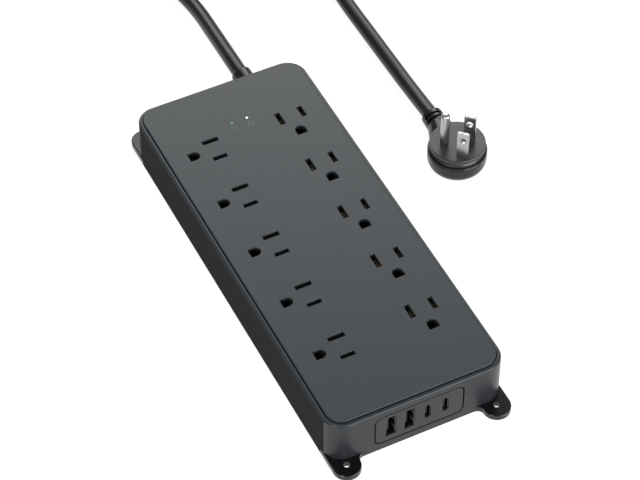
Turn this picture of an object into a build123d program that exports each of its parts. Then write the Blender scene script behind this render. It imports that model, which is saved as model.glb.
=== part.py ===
"""Ten-outlet surge protector strip with four USB ports, wall ears, power cord and flat plug.

Frame: millimetres, +Z up. The origin is the centre of the strip's underside. +Y points to the
end that the cord leaves, -Y to the end with the USB ports.
"""
from build123d import *
from math import cos, pi, radians, sin, tan
import os

os.makedirs("parts", exist_ok=True)

# ---------------------------------------------------------------- driving dimensions
BODY_W = 97.0
BODY_L = 236.0
BODY_H = 30.0
CORNER_R = 11.0
WALL = 2.5
FIT = 0.1

RIM_Z = 28.9
RIM_W = 2.0
RIM_FILLET = 1.2
LEDGE_Z = 27.2
LEDGE_T = 2.0
LEDGE_W = 2.5
PLATE_GAP = 0.5

BASE_T = 3.2
EAR_W = 14.5
EAR_X = BODY_W / 2 - EAR_W / 2
EAR_Y = 121.0
EAR_ROOT_Y = 107.0
EAR_HOLE_R = 1.6
EAR_EDGE_R = 0.6
EAR_FLARE_R = 3.4

OUTLET_ROWS = 5
OUTLET_PITCH = 36.93
BLADE_SPACING = 12.7
GROUND_OFFSET = 11.9
LEFT_BLADE_X = -20.1
LEFT_MID_Y = 0.6
RIGHT_GROUND_X = 26.05
RIGHT_BLADE_Y = 5.3
NEUTRAL_SLOT = (8.7, 2.6)
LIVE_SLOT = (7.5, 2.4)
GROUND_W = 5.5
GROUND_L = 5.8

CONTACT_Z = 14.1
CONTACT_T = 0.8
CLIP_TOP_Z = 26.6
STRIP_END_Y = 86.0
LEAF_T = 0.6

CORD_D = 8.6
CORD_R = CORD_D / 2
CORD_X = 22.8
CORD_Z = 12.0
COLLAR_R = 5.9
COLLAR_L = 17.5

BREAKER_X = -22.0
BREAKER_Z = 14.0
BUSHING_R = 5.5
BUTTON_R = 3.8
BUTTON_CLEARANCE = 0.2

USB_PANEL_X = -0.3
USB_PANEL_Z = 14.7
USB_PANEL_W = 47.8
USB_PANEL_H = 19.0
USB_PORT_Z = 15.6
PORT_GAP = 0.15
PANEL_GAP = 0.7
USB_A_X = (-16.0, -5.9)
USB_C_X = (4.05, 13.75)
PORT_FACE_Y = -117.6
PORT_DEPTH = 13.7

LED_X = 4.4
LED_Y = 87.6
PIPE_R = 0.55

COIL_X = 64.0
COIL_Y = 264.0
COIL_IN_R = 29.0
COIL_OUT_R = 57.5
COIL_H = 17.2
TIE_T = 1.0

PLUG_X = 102.2
PLUG_Y = 33.5
PLUG_TURN = -2.2
PLUG_R = 16.0
PLUG_UNDER_R = 6.4
PLUG_STEP_Z = 12.2
PLUG_GROOVE_Z = 10.8
PLUG_FACE_R = 15.0
PLUG_FACE_Z = 17.0
NECK_R = 6.1
NECK_Z = 7.5
NECK_L = 31.0
PIN_TURN = -45.0
PIN_CENTRE = (PLUG_X - 0.3, PLUG_Y - 3.2)
BLADE_W = 6.35
BLADE_T = 1.52
BLADE_H = 17.0
BLADE_HOLE_Z = 11.5
PIN_R = 2.4
PIN_H = 21.0
PIN_ROOT = 2.6

# Where the cord goes: from the clamp in the housing to the coil, and from the coil to the plug.
EXIT_ROUTE = [
    (CORD_X, 106, CORD_Z),
    (CORD_X, 140, CORD_Z),
    (24.3, 172, 8.2),
    (25.8, 203, CORD_R),
    (20.0, 232, CORD_R),
    (11.8, 258, 5.3),
]
PLUG_ROUTE = [
    (117.0, 258, 13.9),
    (112.5, 230, 12.6),
    (105.2, 200, 5.5),
    (103.4, 170, CORD_R),
    (103.7, 143, CORD_R),
    (103.9, 115, CORD_R),
    (103.9, 90, 4.8),
    (103.4, 64.5, NECK_Z),
]

# ---------------------------------------------------------------- places worked out from them
IN_W = BODY_W - 2 * WALL
IN_L = BODY_L - 2 * WALL
IN_R = CORNER_R - WALL
REAR_Y = BODY_L / 2
FRONT_Y = -BODY_L / 2
PLATE_W = BODY_W - 2 * (RIM_W + PLATE_GAP)
PLATE_L = BODY_L - 2 * (RIM_W + PLATE_GAP)
PLATE_R = CORNER_R - RIM_W - PLATE_GAP
ROW_YS = [OUTLET_PITCH * (2 - row) for row in range(OUTLET_ROWS)]
EARS = [(sx * EAR_X, sy * EAR_Y) for sx in (-1, 1) for sy in (-1, 1)]
EAR_ROOTS = [(x, y * (EAR_Y + EAR_ROOT_Y) / 2 / EAR_Y) for x, y in EARS]
EAR_SIDE_X = EAR_X - EAR_W / 2 + 0.1
FLARE_X = EAR_SIDE_X - EAR_FLARE_R
FLARE_Y = BODY_L / 2 + FIT
FLARE_END_Y = FLARE_Y + EAR_FLARE_R
BOSS_R = 3.2
BOSSES = [(sx * 41.0, y) for sx in (-1, 1) for y in (-100.0, 0.0, 100.0)]
SCREW_R = 1.5

# Outlet slots. Each left outlet lies on its side, with its ground pin to the left. Each right
# outlet has its ground pin towards the front.
LEFT_NEUTRALS = [(LEFT_BLADE_X, LEFT_MID_Y + y + BLADE_SPACING / 2) for y in ROW_YS]
LEFT_LIVES = [(LEFT_BLADE_X, LEFT_MID_Y + y - BLADE_SPACING / 2) for y in ROW_YS]
LEFT_GROUNDS = [(LEFT_BLADE_X - GROUND_OFFSET, LEFT_MID_Y + y) for y in ROW_YS]
RIGHT_NEUTRALS = [(RIGHT_GROUND_X - BLADE_SPACING / 2, RIGHT_BLADE_Y + y) for y in ROW_YS]
RIGHT_LIVES = [(RIGHT_GROUND_X + BLADE_SPACING / 2, RIGHT_BLADE_Y + y) for y in ROW_YS]
RIGHT_GROUNDS = [(RIGHT_GROUND_X, RIGHT_BLADE_Y + y - GROUND_OFFSET) for y in ROW_YS]


# ---------------------------------------------------------------- casing
# Hollow of the housing: tall room, narrower neck inside the ledge, wide recess for the plate.
with BuildPart() as hollow:
    with BuildSketch(Plane.XY):
        RectangleRounded(IN_W, IN_L, IN_R)
    extrude(amount=LEDGE_Z - LEDGE_T)
    with BuildSketch(Plane.XY.offset(LEDGE_Z - LEDGE_T)):
        RectangleRounded(IN_W - 2 * LEDGE_W, IN_L - 2 * LEDGE_W, IN_R - LEDGE_W)
    extrude(amount=LEDGE_T)
    with BuildSketch(Plane.XY.offset(LEDGE_Z)):
        RectangleRounded(BODY_W - 2 * RIM_W, BODY_L - 2 * RIM_W, CORNER_R - RIM_W)
    extrude(amount=BODY_H - LEDGE_Z)

with BuildPart() as upper_housing:
    with BuildSketch(Plane.XY):
        RectangleRounded(BODY_W, BODY_L, CORNER_R)
    extrude(amount=RIM_Z)
    fillet(upper_housing.faces().sort_by(Axis.Z)[-1].edges(), RIM_FILLET)
    add(hollow.part, mode=Mode.SUBTRACT)
    # Bosses for the housing screws, each with a rib to the wall beside it.
    with BuildSketch(Plane.XY.offset(BASE_T + FIT)):
        with Locations(BOSSES):
            Circle(BOSS_R)
        with Locations([(x * 1.07, y) for x, y in BOSSES]):
            Rectangle(5.0, 2.4)
    extrude(amount=LEDGE_Z - LEDGE_T - BASE_T)
    with BuildSketch(Plane.XY.offset(BASE_T + FIT)):
        with Locations(BOSSES):
            Circle(SCREW_R)
    extrude(amount=12.0, mode=Mode.SUBTRACT)
    # Notches that the base's ears stand in, and the seat of the base itself.
    with BuildSketch(Plane.XY):
        with Locations(EAR_ROOTS):
            Rectangle(EAR_W + 2 * FIT, EAR_Y - EAR_ROOT_Y + 2 * FIT)
    extrude(amount=BASE_T + FIT, mode=Mode.SUBTRACT)
    with BuildSketch(Plane.XY):
        RectangleRounded(IN_W, IN_L, IN_R)
    extrude(amount=BASE_T + FIT, mode=Mode.SUBTRACT)
    # Window of the USB panel in the front wall.
    with BuildSketch(Plane.XZ.offset(-FRONT_Y)):
        with Locations((USB_PANEL_X, USB_PANEL_Z)):
            RectangleRounded(USB_PANEL_W + 2 * PANEL_GAP, USB_PANEL_H + 2 * PANEL_GAP, 4.2)
    extrude(amount=-WALL, mode=Mode.SUBTRACT)
    # Holes for the cord's collar and the breaker's bushing in the rear wall.
    with BuildSketch(Plane.XZ.offset(-REAR_Y)):
        with Locations((CORD_X, CORD_Z)):
            Circle(COLLAR_R - 1.0 + FIT)
        with Locations((BREAKER_X, BREAKER_Z)):
            Circle(BUSHING_R + FIT)
    extrude(amount=WALL, mode=Mode.SUBTRACT)
upper_housing.part.label = "upper_housing"
export_step(upper_housing.part, "parts/upper_housing.step")

BOARD_Z = 6.0
BOARD_T = 1.6
SURGE_BOARD = (2.2, 10.0, 22.0, 110.0)
USB_BOARD = (0.0, -88.0, 70.0, 27.0)
BOARD_POSTS = [(x, y) for x in (-5.8, 10.2) for y in (-40.0, 60.0)]
BOARD_POSTS += [(x, -79.0) for x in (-30.0, 30.0)]
CLAMP_Y = 108.5
CLAMP_POSTS = [(CORD_X - 9.6, CLAMP_Y), (CORD_X + 9.6, CLAMP_Y)]
CLAMP_FOOT_Z = 8.0

with BuildPart() as base_cover:
    with BuildSketch(Plane.XY):
        RectangleRounded(IN_W - 2 * FIT, IN_L - 2 * FIT, IN_R)
        with Locations(EARS):
            Circle(EAR_W / 2)
        with Locations(EAR_ROOTS):
            Rectangle(EAR_W, EAR_Y - EAR_ROOT_Y)
    extrude(amount=BASE_T)
    ear_rims = base_cover.faces().sort_by(Axis.Z)[-1].edges().filter_by(GeomType.CIRCLE)
    fillet(ear_rims.filter_by(lambda edge: abs(edge.center().Y) > EAR_Y), EAR_EDGE_R)
    # Hollow flares where the ears leave the wall.
    with BuildSketch(Plane.XY):
        for sx in (-1, 1):
            for sy in (-1, 1):
                with BuildLine():
                    Line((sx * FLARE_X, sy * FLARE_Y), (sx * EAR_SIDE_X, sy * FLARE_Y))
                    Line((sx * EAR_SIDE_X, sy * FLARE_Y), (sx * EAR_SIDE_X, sy * FLARE_END_Y))
                    RadiusArc(
                        (sx * EAR_SIDE_X, sy * FLARE_END_Y),
                        (sx * FLARE_X, sy * FLARE_Y),
                        sx * sy * EAR_FLARE_R,
                    )
                make_face()
    extrude(amount=BASE_T)
    # Posts for the boards and the cord clamp.
    with BuildSketch(Plane.XY.offset(BASE_T)):
        with Locations(BOARD_POSTS):
            Circle(2.6)
    extrude(amount=BOARD_Z - BASE_T)
    with BuildSketch(Plane.XY.offset(BASE_T)):
        with Locations(CLAMP_POSTS):
            Circle(BOSS_R)
    extrude(amount=CLAMP_FOOT_Z - BASE_T)
    # Pilot holes in the posts, screw holes with sunk heads, and the countersunk ear holes.
    with BuildSketch(Plane.XY.offset(1.2)):
        with Locations(BOARD_POSTS):
            Circle(1.1)
        with Locations(CLAMP_POSTS):
            Circle(SCREW_R)
    extrude(amount=CLAMP_FOOT_Z, mode=Mode.SUBTRACT)
    with BuildSketch(Plane.XY):
        with Locations(BOSSES):
            Circle(SCREW_R + FIT)
    extrude(amount=BASE_T, mode=Mode.SUBTRACT)
    with BuildSketch(Plane.XY):
        with Locations(BOSSES):
            Circle(BOSS_R)
    extrude(amount=1.5, mode=Mode.SUBTRACT)
    with BuildSketch(Plane.XY):
        with Locations(EARS):
            Circle(EAR_HOLE_R)
    extrude(amount=BASE_T, mode=Mode.SUBTRACT)
    hole_rims = base_cover.edges().filter_by(GeomType.CIRCLE).filter_by_position(Axis.Z, BASE_T, BASE_T)
    chamfer(hole_rims.filter_by(lambda edge: abs(edge.radius - EAR_HOLE_R) < 0.01), 0.2)
base_cover.part.label = "base_cover"
export_step(base_cover.part, "parts/base_cover.step")

HOOK_X = IN_W / 2 - LEDGE_W - FIT - 0.6
HOOKS = [(sx * HOOK_X, y) for sx in (-1, 1) for y in (-70.0, 40.0, 75.0)]


def ground_hole(centre, turn):
    """Sketch of a D-shaped ground hole: flat on one side, round towards the blade slots."""
    with Locations(Location((centre[0], centre[1], 0), (0, 0, 1), turn)):
        with Locations((-GROUND_W / 4, 0)):
            Rectangle(GROUND_L - GROUND_W / 2, GROUND_W)
        with Locations((GROUND_L / 2 - GROUND_W / 2, 0)):
            Circle(GROUND_W / 2)


with BuildPart() as outlet_plate:
    with BuildSketch(Plane.XY.offset(LEDGE_Z)):
        RectangleRounded(PLATE_W, PLATE_L, PLATE_R)
    extrude(amount=BODY_H - LEDGE_Z)
    fillet(outlet_plate.faces().sort_by(Axis.Z)[-1].edges(), 0.35)
    # Snap hooks that hold the plate under the housing's ledge.
    with BuildSketch(Plane.XY.offset(LEDGE_Z)):
        with Locations(HOOKS):
            Rectangle(1.2, 8.0)
    extrude(amount=-(LEDGE_T + 0.9))
    with BuildSketch(Plane.XY.offset(LEDGE_Z - LEDGE_T - FIT)):
        with Locations([(x * 1.015, y) for x, y in HOOKS]):
            Rectangle(2.2, 8.0)
    extrude(amount=-0.8)
    # Blade slots, ground holes and the two indicator windows.
    with BuildSketch(Plane.XY.offset(LEDGE_Z)):
        with Locations(LEFT_NEUTRALS):
            Rectangle(*NEUTRAL_SLOT)
        with Locations(LEFT_LIVES):
            Rectangle(*LIVE_SLOT)
        with Locations(RIGHT_NEUTRALS):
            Rectangle(*reversed(NEUTRAL_SLOT))
        with Locations(RIGHT_LIVES):
            Rectangle(*reversed(LIVE_SLOT))
        for centre in LEFT_GROUNDS:
            ground_hole(centre, 0)
        for centre in RIGHT_GROUNDS:
            ground_hole(centre, 90)
        with Locations((-LED_X, LED_Y), (LED_X, LED_Y)):
            Circle(PIPE_R + 0.02)
    extrude(amount=BODY_H - LEDGE_Z, mode=Mode.SUBTRACT)
    slot_rims = outlet_plate.faces().sort_by(Axis.Z)[-1].inner_wires().edges()
    chamfer(slot_rims.filter_by(lambda edge: abs(edge.center().Y - LED_Y) > 2), 0.25)
outlet_plate.part.label = "outlet_plate"
export_step(outlet_plate.part, "parts/outlet_plate.step")

with BuildPart() as housing_screws:
    with BuildSketch(Plane.XY.offset(0.2)):
        with Locations(BOSSES):
            Circle(BOSS_R - 0.3)
    extrude(amount=1.3)
    with BuildSketch(Plane.XY.offset(0.2)):
        with Locations(BOSSES):
            Rectangle(3.4, 0.8)
            Rectangle(0.8, 3.4)
    extrude(amount=0.7, mode=Mode.SUBTRACT)
    with BuildSketch(Plane.XY.offset(1.5)):
        with Locations(BOSSES):
            Circle(SCREW_R)
    extrude(amount=11.5)
housing_screws.part.label = "housing_screws"
export_step(housing_screws.part, "parts/housing_screws.step")

# ---------------------------------------------------------------- contacts and their carriers
CARRIER_BOTTOM = CONTACT_Z + CONTACT_T
LEFT_CARRIER = (-25.8, LEFT_MID_Y, 23.4, 172.0)
RIGHT_CARRIER = (RIGHT_GROUND_X, -0.6, 22.0, 171.0)
BLADE_POCKET = (9.2, 4.2)
GROUND_POCKET = 7.0

with BuildPart() as left_contact_carrier:
    with BuildSketch(Plane.XY.offset(CARRIER_BOTTOM)):
        with Locations(LEFT_CARRIER[:2]):
            Rectangle(*LEFT_CARRIER[2:])
        with Locations(LEFT_NEUTRALS + LEFT_LIVES):
            Rectangle(*BLADE_POCKET, mode=Mode.SUBTRACT)
        with Locations(LEFT_GROUNDS):
            Rectangle(GROUND_POCKET, GROUND_POCKET, mode=Mode.SUBTRACT)
    extrude(amount=LEDGE_Z - CARRIER_BOTTOM)
left_contact_carrier.part.label = "left_contact_carrier"
export_step(left_contact_carrier.part, "parts/left_contact_carrier.step")

with BuildPart() as right_contact_carrier:
    with BuildSketch(Plane.XY.offset(CARRIER_BOTTOM)):
        with Locations(RIGHT_CARRIER[:2]):
            Rectangle(*RIGHT_CARRIER[2:])
        with Locations(RIGHT_NEUTRALS + RIGHT_LIVES):
            Rectangle(*reversed(BLADE_POCKET), mode=Mode.SUBTRACT)
        with Locations(RIGHT_GROUNDS):
            Rectangle(GROUND_POCKET, GROUND_POCKET, mode=Mode.SUBTRACT)
    extrude(amount=LEDGE_Z - CARRIER_BOTTOM)
right_contact_carrier.part.label = "right_contact_carrier"
export_step(right_contact_carrier.part, "parts/right_contact_carrier.step")


def contact_strip(places, rail_x, rail_w, across_x, leaf_w, leaf_gap):
    """One brass bus strip with a pair of spring leaves standing at each place.

    across_x is True where the leaves lie along X, as in the left outlets' blade slots.
    """
    front_y = places[-1][1] - 4.5
    with BuildPart() as strip:
        with BuildSketch(Plane.XY.offset(CONTACT_Z)):
            with Locations((rail_x, (front_y + STRIP_END_Y) / 2)):
                Rectangle(rail_w, STRIP_END_Y - front_y)
            for x, y in places:
                reach = abs(x - rail_x) + leaf_w / 2
                side = 1 if x > rail_x else -1
                if across_x:
                    with Locations((rail_x + side * reach / 2, y)):
                        Rectangle(reach, leaf_gap + 2 * LEAF_T)
                else:
                    with Locations((x, y)):
                        Rectangle(leaf_gap + 2 * LEAF_T, leaf_w)
        extrude(amount=CONTACT_T)
        with BuildSketch(Plane.XY.offset(CONTACT_Z)):
            for x, y in places:
                offset_y = (leaf_gap + LEAF_T) / 2 if across_x else 0
                offset_x = 0 if across_x else (leaf_gap + LEAF_T) / 2
                with Locations((x - offset_x, y - offset_y), (x + offset_x, y + offset_y)):
                    if across_x:
                        Rectangle(leaf_w, LEAF_T)
                    else:
                        Rectangle(LEAF_T, leaf_w)
        extrude(amount=CLIP_TOP_Z - CONTACT_Z)
    return strip.part


LEFT_NEUTRAL_RAIL_X = -27.4
LEFT_LIVE_RAIL_X = -12.4
BLADE_LEAF_GAP = 1.3
GROUND_LEAF_GAP = 4.6
STRIPS = {
    "left_neutral_contacts": (LEFT_NEUTRALS, LEFT_NEUTRAL_RAIL_X, 3.0, True, 6.6, BLADE_LEAF_GAP),
    "left_live_contacts": (LEFT_LIVES, LEFT_LIVE_RAIL_X, 3.0, True, 6.6, BLADE_LEAF_GAP),
    "left_ground_contacts": (LEFT_GROUNDS, LEFT_GROUNDS[0][0], 4.0, False, 5.0, GROUND_LEAF_GAP),
    "right_neutral_contacts": (RIGHT_NEUTRALS, RIGHT_NEUTRALS[0][0], 3.0, False, 6.6, BLADE_LEAF_GAP),
    "right_live_contacts": (RIGHT_LIVES, RIGHT_LIVES[0][0], 3.0, False, 6.6, BLADE_LEAF_GAP),
    "right_ground_contacts": (RIGHT_GROUNDS, RIGHT_GROUND_X, 4.0, False, 5.0, GROUND_LEAF_GAP),
}
for strip_name, strip_facts in STRIPS.items():
    contacts = contact_strip(*strip_facts)
    contacts.label = strip_name
    export_step(contacts, f"parts/{strip_name}.step")

# Wires that join each left strip to the right strip of its kind, below the insulating sheets.
LINKS = [
    (LEFT_LIVE_RAIL_X, RIGHT_LIVES[0][0], -54.0),
    (LEFT_NEUTRAL_RAIL_X, RIGHT_NEUTRALS[0][0], -58.0),
    (LEFT_GROUNDS[0][0], RIGHT_GROUND_X, -62.0),
]
LINK_Z = 10.6
WIRE_R = 1.1

with BuildPart() as bus_insulators:
    with BuildSketch(Plane.XY.offset(CONTACT_Z - 0.5)):
        with Locations((-24.2, LEFT_MID_Y)):
            Rectangle(27.0, 170.6)
        with Locations(RIGHT_CARRIER[:2]):
            Rectangle(*RIGHT_CARRIER[2:])
        with Locations([(left_x, y) for left_x, _, y in LINKS]):
            Circle(WIRE_R + FIT, mode=Mode.SUBTRACT)
        with Locations([(right_x, y) for _, right_x, y in LINKS]):
            Circle(WIRE_R + FIT, mode=Mode.SUBTRACT)
    extrude(amount=0.5)
bus_insulators.part.label = "bus_insulators"
export_step(bus_insulators.part, "parts/bus_insulators.step")


def wire(points, bend, radius):
    """A round wire along straight runs joined by arcs of one bend radius."""
    with BuildPart() as piece:
        with BuildLine() as path:
            FilletPolyline(*points, radius=bend)
        start = path.wires()[0]
        with BuildSketch(Plane(start @ 0, z_dir=start % 0)):
            Circle(radius)
        sweep(path=start)
    return piece.part


with BuildPart() as bus_links:
    for left_x, right_x, link_y in LINKS:
        corners = [(left_x, link_y, CONTACT_Z), (left_x, link_y, LINK_Z)]
        corners += [(right_x, link_y, LINK_Z), (right_x, link_y, CONTACT_Z)]
        add(wire(corners, 1.4, WIRE_R))
bus_links.part.label = "bus_links"
export_step(bus_links.part, "parts/bus_links.step")

# ---------------------------------------------------------------- surge board
with BuildPart() as surge_board:
    with BuildSketch(Plane.XY.offset(BOARD_Z)):
        with Locations(SURGE_BOARD[:2]):
            Rectangle(*SURGE_BOARD[2:])
        with Locations(BOARD_POSTS[:4]):
            Circle(1.3, mode=Mode.SUBTRACT)
    extrude(amount=BOARD_T)
surge_board.part.label = "surge_board"
export_step(surge_board.part, "parts/surge_board.step")

with BuildPart() as board_screws:
    with BuildSketch(Plane.XY.offset(1.6)):
        with Locations(BOARD_POSTS):
            Circle(1.1)
    extrude(amount=BOARD_Z + BOARD_T - 1.6)
    with BuildSketch(Plane.XY.offset(BOARD_Z + BOARD_T)):
        with Locations(BOARD_POSTS):
            Circle(2.1)
    extrude(amount=1.4)
board_screws.part.label = "board_screws"
export_step(board_screws.part, "parts/board_screws.step")

BOARD_TOP = BOARD_Z + BOARD_T
DISC_R = 7.2
DISC_T = 4.6
DISC_LEG_H = 2.2
LEAD_R = 0.4
VARISTORS = {
    "live_neutral_varistor": 44.0,
    "live_ground_varistor": 32.0,
    "neutral_ground_varistor": 20.0,
}
FUSE_Y = 53.0
FUSE_R = 2.0
FUSE_L = 10.0
FILTER_Y = 2.0
FILTER_SIZE = (18.0, 8.5, 14.0)
CHOKE_Y = -20.0
CHOKE_OUT_R = 8.5
CHOKE_IN_R = 3.6
CHOKE_H = 7.5
for disc_name, disc_y in VARISTORS.items():
    with BuildPart() as varistor:
        with BuildSketch(Plane.XZ.offset(-disc_y)):
            with Locations((SURGE_BOARD[0], BOARD_TOP + DISC_R + DISC_LEG_H)):
                Circle(DISC_R)
        extrude(amount=DISC_T / 2, both=True)
        fillet(varistor.edges(), 1.2)
        with BuildSketch(Plane.XY.offset(BOARD_TOP)):
            with Locations((SURGE_BOARD[0] - 3.7, disc_y), (SURGE_BOARD[0] + 3.7, disc_y)):
                Circle(LEAD_R)
        extrude(amount=2 * DISC_LEG_H)
    varistor.part.label = disc_name
    export_step(varistor.part, f"parts/{disc_name}.step")

with BuildPart() as thermal_fuse:
    with BuildSketch(Plane.YZ.offset(SURGE_BOARD[0] - FUSE_L / 2)):
        with Locations((FUSE_Y, BOARD_TOP + FUSE_R + LEAD_R)):
            Circle(FUSE_R)
    extrude(amount=FUSE_L)
    fillet(thermal_fuse.edges(), 0.6)
    with BuildSketch(Plane.XY.offset(BOARD_TOP)):
        with Locations((SURGE_BOARD[0] - 3.8, FUSE_Y), (SURGE_BOARD[0] + 3.8, FUSE_Y)):
            Circle(LEAD_R)
    extrude(amount=1.6)
thermal_fuse.part.label = "thermal_fuse"
export_step(thermal_fuse.part, "parts/thermal_fuse.step")

with BuildPart() as filter_capacitor:
    with BuildSketch(Plane.XY.offset(BOARD_TOP)):
        with Locations((SURGE_BOARD[0], FILTER_Y)):
            RectangleRounded(*FILTER_SIZE[:2], 0.8)
    extrude(amount=FILTER_SIZE[2])
    fillet(filter_capacitor.faces().sort_by(Axis.Z)[-1].edges(), 0.7)
filter_capacitor.part.label = "filter_capacitor"
export_step(filter_capacitor.part, "parts/filter_capacitor.step")

with BuildPart() as choke:
    with BuildSketch(Plane.XY.offset(BOARD_TOP)):
        with Locations((SURGE_BOARD[0], CHOKE_Y)):
            Circle(CHOKE_OUT_R)
            Circle(CHOKE_IN_R, mode=Mode.SUBTRACT)
    extrude(amount=CHOKE_H)
    fillet(choke.edges(), 1.6)
choke.part.label = "choke"
export_step(choke.part, "parts/choke.step")

# ---------------------------------------------------------------- circuit breaker
BREAKER_BACK_Y = 88.5
BREAKER_FRONT_Y = REAR_Y - WALL - FIT
BORE_R = BUTTON_R + BUTTON_CLEARANCE
BUTTON_BACK_Y = 109.0
BUTTON_OUT_Y = 124.5
BREAKER_W = 15.0
BREAKER_H = 19.0
BUSHING_L = 7.2
NUT_R = 8.0
NUT_T = 2.4
TERMINAL_YS = (95.0, 104.0)
TERMINAL_L = 6.0

with BuildPart() as breaker_body:
    with BuildSketch(Plane.XZ.offset(-BREAKER_FRONT_Y)):
        with Locations((BREAKER_X, BREAKER_Z)):
            RectangleRounded(BREAKER_W, BREAKER_H, 1.0)
    extrude(amount=BREAKER_FRONT_Y - BREAKER_BACK_Y)
    with BuildSketch(Plane.XZ.offset(-BREAKER_FRONT_Y)):
        with Locations((BREAKER_X, BREAKER_Z)):
            Circle(BORE_R)
    extrude(amount=BREAKER_FRONT_Y - BUTTON_BACK_Y + 0.4, mode=Mode.SUBTRACT)
breaker_body.part.label = "breaker_body"
export_step(breaker_body.part, "parts/breaker_body.step")

with BuildPart() as breaker_bushing:
    with BuildSketch(Plane.XZ.offset(-BREAKER_FRONT_Y)):
        with Locations((BREAKER_X, BREAKER_Z)):
            Circle(BUSHING_R)
            Circle(BORE_R, mode=Mode.SUBTRACT)
    extrude(amount=-BUSHING_L)
    chamfer(breaker_bushing.faces().sort_by(Axis.Y)[-1].outer_wire().edges(), 0.4)
breaker_bushing.part.label = "breaker_bushing"
export_step(breaker_bushing.part, "parts/breaker_bushing.step")

with BuildPart() as breaker_nut:
    with BuildSketch(Plane.XZ.offset(-REAR_Y)):
        with Locations((BREAKER_X, BREAKER_Z)):
            RegularPolygon(NUT_R, 6)
            Circle(BUSHING_R, mode=Mode.SUBTRACT)
    extrude(amount=-NUT_T)
    chamfer(breaker_nut.faces().sort_by(Axis.Y)[-1].outer_wire().edges(), 0.4)
breaker_nut.part.label = "breaker_nut"
export_step(breaker_nut.part, "parts/breaker_nut.step")

with BuildPart() as reset_button:
    with BuildSketch(Plane.XZ.offset(-BUTTON_BACK_Y)):
        with Locations((BREAKER_X, BREAKER_Z)):
            Circle(BUTTON_R)
    extrude(amount=BUTTON_BACK_Y - BUTTON_OUT_Y)
    fillet(reset_button.faces().sort_by(Axis.Y)[-1].edges(), 0.8)
reset_button.part.label = "reset_button"
export_step(reset_button.part, "parts/reset_button.step")

with BuildPart() as breaker_terminals:
    with BuildSketch(Plane.YZ.offset(BREAKER_X + BREAKER_W / 2)):
        with Locations([(y, BREAKER_Z) for y in TERMINAL_YS]):
            Rectangle(0.8, 6.3)
    extrude(amount=TERMINAL_L)
breaker_terminals.part.label = "breaker_terminals"
export_step(breaker_terminals.part, "parts/breaker_terminals.step")

# ---------------------------------------------------------------- indicator lights
LAMP_BOARD_Z = 21.4
LAMP_BOARD_T = 1.2
LED_H = 1.2
FLANGE_H = 0.7

with BuildPart() as indicator_board:
    with BuildSketch(Plane.XY.offset(LAMP_BOARD_Z)):
        with Locations((0, LED_Y)):
            RectangleRounded(18.0, 11.0, 0.8)
    extrude(amount=LAMP_BOARD_T)
indicator_board.part.label = "indicator_board"
export_step(indicator_board.part, "parts/indicator_board.step")

for lamp_side, lamp_name in ((-1, "ground"), (1, "power")):
    with BuildPart() as lamp:
        with BuildSketch(Plane.XY.offset(LAMP_BOARD_Z + LAMP_BOARD_T)):
            with Locations((lamp_side * LED_X, LED_Y)):
                RectangleRounded(2.0, 3.2, 0.3)
        extrude(amount=LED_H)
    lamp.part.label = f"{lamp_name}_led"
    export_step(lamp.part, f"parts/{lamp_name}_led.step")
    with BuildPart() as light_pipe:
        with BuildSketch(Plane.XY.offset(LAMP_BOARD_Z + LAMP_BOARD_T + LED_H)):
            with Locations((lamp_side * LED_X, LED_Y)):
                Circle(PIPE_R)
        extrude(amount=BODY_H - LAMP_BOARD_Z - LAMP_BOARD_T - LED_H)
        with BuildSketch(Plane.XY.offset(LEDGE_Z)):
            with Locations((lamp_side * LED_X, LED_Y)):
                Circle(PIPE_R + 0.8)
        extrude(amount=-FLANGE_H)
    light_pipe.part.label = f"{lamp_name}_light_pipe"
    export_step(light_pipe.part, f"parts/{lamp_name}_light_pipe.step")

# ---------------------------------------------------------------- USB panel and charger
TRANSFORMER_AT = (20.0, -94.0)
SMOOTHING_AT = (-12.0, -94.0)
SMOOTHING_R = 5.0
SMOOTHING_H = 16.0
A_SHELL = (5.5, 13.3)
C_SHELL = (3.4, 9.2)
SHELL_T = 0.3
PORT_BACK_Y = PORT_FACE_Y + PORT_DEPTH

with BuildPart() as usb_bezel:
    with BuildSketch(Plane.XZ.offset(-FRONT_Y)):
        with Locations((USB_PANEL_X, USB_PANEL_Z)):
            RectangleRounded(USB_PANEL_W, USB_PANEL_H, 3.5)
    extrude(amount=-WALL)
    fillet(usb_bezel.faces().sort_by(Axis.Y)[0].edges(), 0.25)
    # Flange behind the wall, which stops the panel from coming out.
    with BuildSketch(Plane.XZ.offset(-FRONT_Y - WALL)):
        with Locations((USB_PANEL_X, USB_PANEL_Z)):
            RectangleRounded(USB_PANEL_W + 3.0, USB_PANEL_H + 1.8, 4.4)
    extrude(amount=-1.4)
    with BuildSketch(Plane.XZ.offset(-FRONT_Y)):
        with Locations([(x, USB_PORT_Z) for x in USB_A_X]):
            Rectangle(A_SHELL[0] + 2 * PORT_GAP, A_SHELL[1] + 2 * PORT_GAP)
        with Locations([(x, USB_PORT_Z) for x in USB_C_X]):
            SlotOverall(C_SHELL[1] + 2 * PORT_GAP, C_SHELL[0] + 2 * PORT_GAP, rotation=90)
    extrude(amount=-WALL - 1.4, mode=Mode.SUBTRACT)
usb_bezel.part.label = "usb_bezel"
export_step(usb_bezel.part, "parts/usb_bezel.step")

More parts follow.
